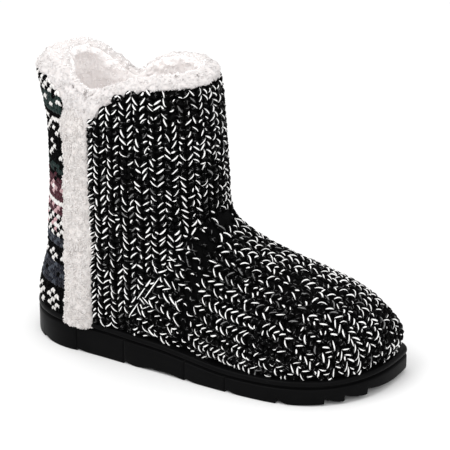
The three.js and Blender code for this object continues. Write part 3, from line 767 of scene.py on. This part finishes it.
def build_strip(side, label, node):
    rng = np.random.default_rng(91 + side)
    patch, _ = FLANK[side]
    rows, cols = 126, 30
    z = np.linspace(17.5, 184.0, rows)[:, None]
    u = np.linspace(-1, 1, cols)[None]
    back, front = pile_back(z) - 1.2, pile_front(z) + 1.2
    wob = 0.8 * lattice(np.stack([z * 0 + 3.0 + side, z / 7.0, z * 0], -1), 12)
    e = (back + front) / 2 + u * (front - back) / 2 + wob - STRIP_X
    p, n = patch.at(np.broadcast_to(z, e.shape), e)
    out = -1.6 + 5.9 * (1 - np.abs(u) ** 3.2) + 1.6 * (1 - smooth(20.0, 32.0, z)) - 9.0 * (1 - smooth(16.8, 21.0, z)) - 6.5 * smooth(164.0, 182.0, z)
    p = p + n * out[..., None]
    p = p + n * (0.85 * (pile(p, 17 + side) - 1.0) * (1 - np.abs(u) ** 6))[..., None]
    base = grid_faces(rows, cols, flip=(side > 0))
    pos, nn = scatter(p, False, 2600, rng, weight=np.broadcast_to((1 - np.abs(u) ** 8) + 0.05, e.shape), flip=False)
    nn = nn * np.sign(nn[:, 1] * side)[:, None]
    tv, tf = tufts(pos, nn, rng.uniform(1.2, 2.6, len(pos)), rng.uniform(0.45, 0.8, len(pos)), rng)
    make("fleece_strip_" + label, [(p, base, 0), (tv, tf, 0)], [fleece], stands_for=(node,))


COLLAR_SECTION = (
    (-3.5, 0, -2.0), (-1.2, 0, -0.6), (-0.3, 0.05, 0), (0.0, 0.20, 0), (-0.2, 0.38, 0), (-1.0, 0.56, 0), (-2.4, 0.73, 0), (-4.6, 0.88, 0),
    (-7.2, 0.97, 0), (-9.8, 0.98, 0), (-12.0, 0.90, 0), (-13.6, 0.74, 0), (-14.4, 0.52, 0), (-14.6, 0.26, 0), (-14.2, 0, -1.0),
    (-13.2, 0, -7.0), (-11.8, 0, -15.0), (-10.0, 0, -26.0),
)


def build_collar():
    rng = np.random.default_rng(53)
    deg = np.arange(-180.0, 180.0, 1.25)
    n = len(deg)
    zk = np.full(n, 190.0)
    for _ in range(6):
        x = AROUND_PATCH.at(zk, deg)[0][:, 0]
        zk = 0.5 * zk + 0.5 * c_knit(x)
    zk = zk - 4.0 * (1 - smooth(5.0, 30.0, x))
    zf = c_fur(x) - 1.2 - 1.2 * smooth(70.0, 110.0, x)
    inner = AROUND_PATCH.at(zk, deg)[0][:, 1] > 0
    zf = zf - np.where(inner, 6.5, 0.0) * np.exp(-((x - 61.0) / 9.0) ** 2)
    rows = 58
    k = np.linspace(0, len(COLLAR_SECTION) - 1, rows)
    table = [(i, *row) for i, row in enumerate(COLLAR_SECTION)]
    o, f, d = (curve(table, c)(k)[:, None] for c in (1, 2, 3))
    z = zk[None] + f * (zf - zk)[None] + d
    p, nn = AROUND_PATCH.at(np.minimum(z, 214.0), np.broadcast_to(deg, z.shape))
    flat = nn.copy()
    flat[..., 2] = 0
    flat = unit(flat)
    # the lining is plumper behind the heel than at the front
    o = o - 6.0 * (1 - smooth(8.0, 46.0, x))[None] * smooth(0.0, 0.6, f)
    plump = 1 + 0.45 * (1 - smooth(4.0, 60.0, x))[None] * smooth(-5.0, -14.5, o)
    p = p + flat * (o * plump)[..., None]
    p[..., 2] = z
    out = -grid_normals(p, True)
    # outward: away from the middle of the roll
    mid = p.mean(axis=0, keepdims=True)
    if np.sum(out * (p - mid)) < 0:
        out = -out
    edge = np.minimum(1, np.minimum(np.arange(rows), np.arange(rows)[::-1]) / 4.0)[:, None]
    p = p + out * (edge * 1.05 * (pile(p, 29) - 1.0))[..., None]
    pos, no = scatter(p, True, 4800, rng)
    c = np.array([AXIS_X, 0, 0])
    mid = AROUND_PATCH.at(np.clip(pos[:, 2], 14, 214), np.degrees(np.arctan2(pos[:, 1], pos[:, 0] - AXIS_X)))
    core = mid[0] - mid[1] * (4.5 + 6.0 * (1 - smooth(8.0, 46.0, mid[0][:, 0])))[:, None]
    core[:, 2] = np.minimum(pos[:, 2], c_fur(core[:, 0]) - 5)
    # tufts set deep inside the roll take the glowing lining copy: painted light
    deep = (np.sum((pos - mid[0]) * mid[1], axis=1) < -9.0).astype(int)
    flip = np.sign(np.sum(no * (pos - core), axis=1))
    no = no * np.where(flip == 0, 1, flip)[:, None]
    tv, tf = tufts(pos, no, rng.uniform(0.9, 2.1, len(pos)), rng.uniform(0.55, 0.95, len(pos)), rng)
    quads = grid_faces(rows, n, True)
    # the outer rows of the roll take the darker rim copy (painted shade), the rows further inside take the lighter
    # glowing lining copy (painted light)
    inside = (np.arange(len(quads)) // n > 0.60 * rows).astype(int)
    make("fleece_collar", [(p, quads, inside), (tv, tf[0], np.repeat(deep, len(tf[0]) // len(pos))), ], [fleece_rim_shaded, fleece_in_lit], stands_for=("fur_collar",))


def build_insole():
    x = np.linspace(12.5, 252.0, 80)
    c = np.zeros((len(x), 3))
    c[:, 0], c[:, 2] = x, sole_top(x) + 4.0
    toe = np.clip((x - TOE_START * LENGTH) / (LAST_TOE - TOE_START * LENGTH), 0, 1)
    c[:, 1] = TOE_SWING * (0.2 * toe ** 2 + 0.58 * toe ** 6)
    dl, dr = np.tile([0.0, -1.0, 0.0], (len(x), 1)), np.tile([0.0, 1.0, 0.0], (len(x), 1))
    yl, yr = cast(c, dl, -5.5, 90.0)[:, 1], cast(c, dr, -5.5, 90.0)[:, 1]
    cols = 28
    u = np.linspace(-1, 1, cols)[None]
    y = (yl + yr)[:, None] / 2 + u * (yr - yl)[:, None] / 2
    ends = np.minimum(1, np.minimum(np.arange(len(x)), np.arange(len(x))[::-1]) / 3.0)[:, None]
    p = np.stack([np.broadcast_to(x[:, None], y.shape), y, np.broadcast_to(sole_top(x)[:, None], y.shape)], -1)
    top = p.copy()
    top[..., 2] += 1.0 + 4.4 * (1 - np.abs(u) ** 6) * ends + 0.5 * (pile(p, 41) - 1.0) * (1 - np.abs(u) ** 8) * ends
    low = p.copy()
    low[..., 2] += 0.2
    a = len(x) * cols
    v = np.concatenate([top.reshape(-1, 3), low.reshape(-1, 3)])
    make("fleece_footbed", [(v, np.concatenate([grid_faces(len(x), cols, flip=True), grid_faces(len(x), cols, start=a)]), 0)], [footbed], stands_for=("insole",))


# ------------------------------------------------------------------ sole
def outline(a_heel, s_mid, a_toe):
    """Stations along the sole: s, half width factor at the ends and swing."""
    rows = []
    for a in a_heel:
        rows.append((HEEL_END * (1 - np.cos(a) ** (2 / HEEL_ROUND)), np.sin(a) ** (2 / HEEL_ROUND), 1.0))
    for s in s_mid:
        rows.append((s, 1.0, 1.0))
    for a in a_toe:
        rows.append((TOE_START + (1 - TOE_START) * np.sin(a) ** (2 / TOE_ROUND), 1.0, np.cos(a) ** (2 / TOE_ROUND)))
    return np.array(rows)


def rim_point(s, heel, toe, side):
    half = (out_o(s) if side < 0 else out_i(s)) * BALL
    return np.stack([s * LENGTH, side * half * heel * toe + TOE_SWING * (1 - toe)], -1)


def tread(x):
    """Depth of the lugs: a step up, then a slow ramp back to the ground."""
    d = np.zeros_like(x)
    for s, deep in zip(TREAD, LUG_DEPTH):
        q = (x - s * LENGTH) / LUG_RAMP
        d = np.maximum(d, np.where((q >= 0) & (q < 1), deep * (1 - q) ** 1.4, 0))
    return d


def build_outsole():
    half_pi = np.pi / 2
    heel = outline(np.linspace(0.0, half_pi, 26), (), ())
    mid = outline((), np.linspace(HEEL_END, TOE_START, 74)[1:-1], ())
    toe = outline((), (), np.linspace(0, half_pi, 44))
    st = np.concatenate([heel, mid, toe])
    extra = []
    for s in TREAD:
        for ds in (-0.02, 0.0, 0.02):
            q = s + ds / 26.4
            if q < HEEL_END:
                a = np.arccos(np.clip(1 - q / HEEL_END, 0, 1) ** (HEEL_ROUND / 2))
                extra.append((q, np.sin(a) ** (2 / HEEL_ROUND), 1.0))
            elif q <= TOE_START:
                extra.append((q, 1.0, 1.0))
            else:
                a = np.arcsin(np.clip((q - TOE_START) / (1 - TOE_START), 0, 1) ** (TOE_ROUND / 2))
                extra.append((q, 1.0, np.cos(a) ** (2 / TOE_ROUND)))
    for xs in SIPES:
        for dx in (-0.9, -0.45, 0.0, 0.45, 0.9):
            extra.append(((xs + dx) / LENGTH, 1.0, 1.0))
    st = np.concatenate([st, np.array(extra)])
    st = st[np.argsort(st[:, 0], kind="stable")]
    st = st[np.concatenate([[True], np.diff(st[:, 0]) > 1e-7])]
    lat = rim_point(st[:, 0], st[:, 1], st[:, 2], -1)
    med = rim_point(st[:, 0], st[:, 1], st[:, 2], 1)
    # closed loop: outer side heel to toe, inner side toe to heel
    loop = np.concatenate([lat, med[::-1][1:-1]])
    n = len(loop)
    tan = np.roll(loop, -1, 0) - np.roll(loop, 1, 0)
    # even the direction out where stations crowd together
    run = np.cumsum(np.linalg.norm(loop - np.roll(loop, 1, 0), axis=1))
    length = run[-1]
    near = np.stack([np.interp(run + 1.5, np.concatenate([run, run[:40] + length]), np.concatenate([loop[:, k], loop[:40, k]])) for k in (0, 1)], -1)
    gone = np.stack([np.interp(run - 1.5, np.concatenate([run[-40:] - length, run]), np.concatenate([loop[-40:, k], loop[:, k]])) for k in (0, 1)], -1)
    tan = unit(near - gone)
    inward = np.stack([-tan[:, 1], tan[:, 0]], -1)
    x = loop[:, 0]
    top, ground = sole_top(x), sole_bottom(x)
    lug = ground + tread(x)
    # inset, height above the bottom or drop below the top
    section = ((7.0, "up", 0.0), (1.0, "up", 0.0), (0.4, "up", 0.2), (0.1, "up", 0.6), (0.0, "up", 1.4), (0.0, "mid", 0.45), (0.0, "down", 6.6),
               (0.2, "down", 6.1), (0.9, "down", 5.6), (2.3, "down", 5.2), (2.3, "down", 4.1), (0.9, "down", 3.7), (0.1, "down", 3.3),
               (-0.15, "down", 2.4), (-0.05, "down", 1.2), (0.45, "down", 0.4), (1.2, "down", 0.05), (2.2, "down", 0.0), (6.5, "down", 0.0))
    rings = []
    sipes = np.zeros(n)
    for xs in SIPES:
        sipes = np.maximum(sipes, np.exp(-((x - xs) / 0.55) ** 2))
    for inset, mode, v in section:
        z = lug + v if mode == "up" else top - v if mode == "down" else lug + (top - lug) * v
        cut = 0.85 if (mode == "up" and 1.0 < v) or mode == "mid" or (mode == "down" and v > 6.0) else 0.0
        q = loop + inward * (inset + cut * sipes)[:, None]
        rings.append(np.column_stack([q, z]))
    v = np.concatenate(rings)
    k = len(section)
    body = grid_faces(k, n, True)
    # close the tread and the top with strips from side to side
    m = len(st)

    def cap(start, flip):
        left = np.arange(m)
        right = np.concatenate([[0], np.arange(n - 1, m - 1, -1), [m - 1]])
        right = right[:m]
        quads = np.stack([left[:-1], left[1:], right[1:], right[:-1]], -1)[1:-1] + start
        tri = np.array([[left[0], left[1], right[1]], [left[m - 2], left[m - 1], right[m - 2]]]) + start
        if flip:
            return [quads[:, ::-1], tri[:, ::-1]]
        return [quads, tri]
    make("outsole_rubber", [(v, [body] + cap(0, True) + cap((k - 1) * n, False), 0)], [rubber], stands_for=("outsole",))


build_shell()
build_knit()
build_back()
for side, label, node in ((-1, "outer", "fur_strip_outer"), (1, "inner", "fur_strip_inner")):
    build_strip(side, label, node)
build_collar()
build_insole()
build_outsole()

# ------------------------------------------------------------------ floor, light, camera
scene = bpy.context.scene
floor = material("floor_pale", (0.86, 0.86, 0.86), 0.9, 0.02, 3.0, 0.0, spec=0.1)
bpy.ops.mesh.primitive_plane_add(size=14.0, location=(0, 0, 0))
ground = bpy.context.object
ground.name = "floor"
ground.data.materials.append(floor)

world = bpy.data.worlds.new("studio")
scene.world = world
world.use_nodes = True
world.node_tree.nodes["Background"].inputs["Color"].default_value = (1, 1, 1, 1)
world.node_tree.nodes["Background"].inputs["Strength"].default_value = 0.9


def area(name, where, aim, size, power):
    li = bpy.data.lights.new(name, "AREA")
    li.shape = "DISK"
    li.size = size
    li.energy = power
    ob = bpy.data.objects.new(name, li)
    scene.collection.objects.link(ob)
    ob.location = where
    ob.rotation_euler = (Vector(aim) - Vector(where)).to_track_quat("-Z", "Y").to_euler()
    return ob


area("key", (-0.5, -1.0, 1.6), (0, 0, 0.08), 1.2, 16)
area("fill", (1.2, -0.9, 0.9), (0, 0, 0.08), 1.4, 7)
area("top", (-0.05, 0.1, 1.7), (-0.05, 0, 0.2), 1.0, 4)

AZ, EL = math.radians(26.81), math.radians(23.48)
back = Vector((math.sin(AZ) * math.cos(EL), -math.cos(AZ) * math.cos(EL), math.sin(EL)))
right = Vector((math.cos(AZ), math.sin(AZ), 0))
upv = back.cross(right)
target = Vector((0.0, 0.000603, 0.080))
aim = target + right * 0.00945 + upv * 0.0141
place = target + back * 1.6
look = (place - aim).normalized()
side_v = Vector((0, 0, 1)).cross(look).normalized()
up2 = look.cross(side_v)
cam_data = bpy.data.cameras.new("camera")
cam_data.lens = 189.44
cam_data.sensor_width = 36.0
cam_data.clip_end = 50
cam = bpy.data.objects.new("camera", cam_data)
scene.collection.objects.link(cam)
rot = Matrix((side_v, up2, look)).transposed().to_4x4()
cam.matrix_world = Matrix.Translation(place) @ rot
scene.camera = cam
scene.view_settings.view_transform = "Standard"
scene.view_settings.look = "None"
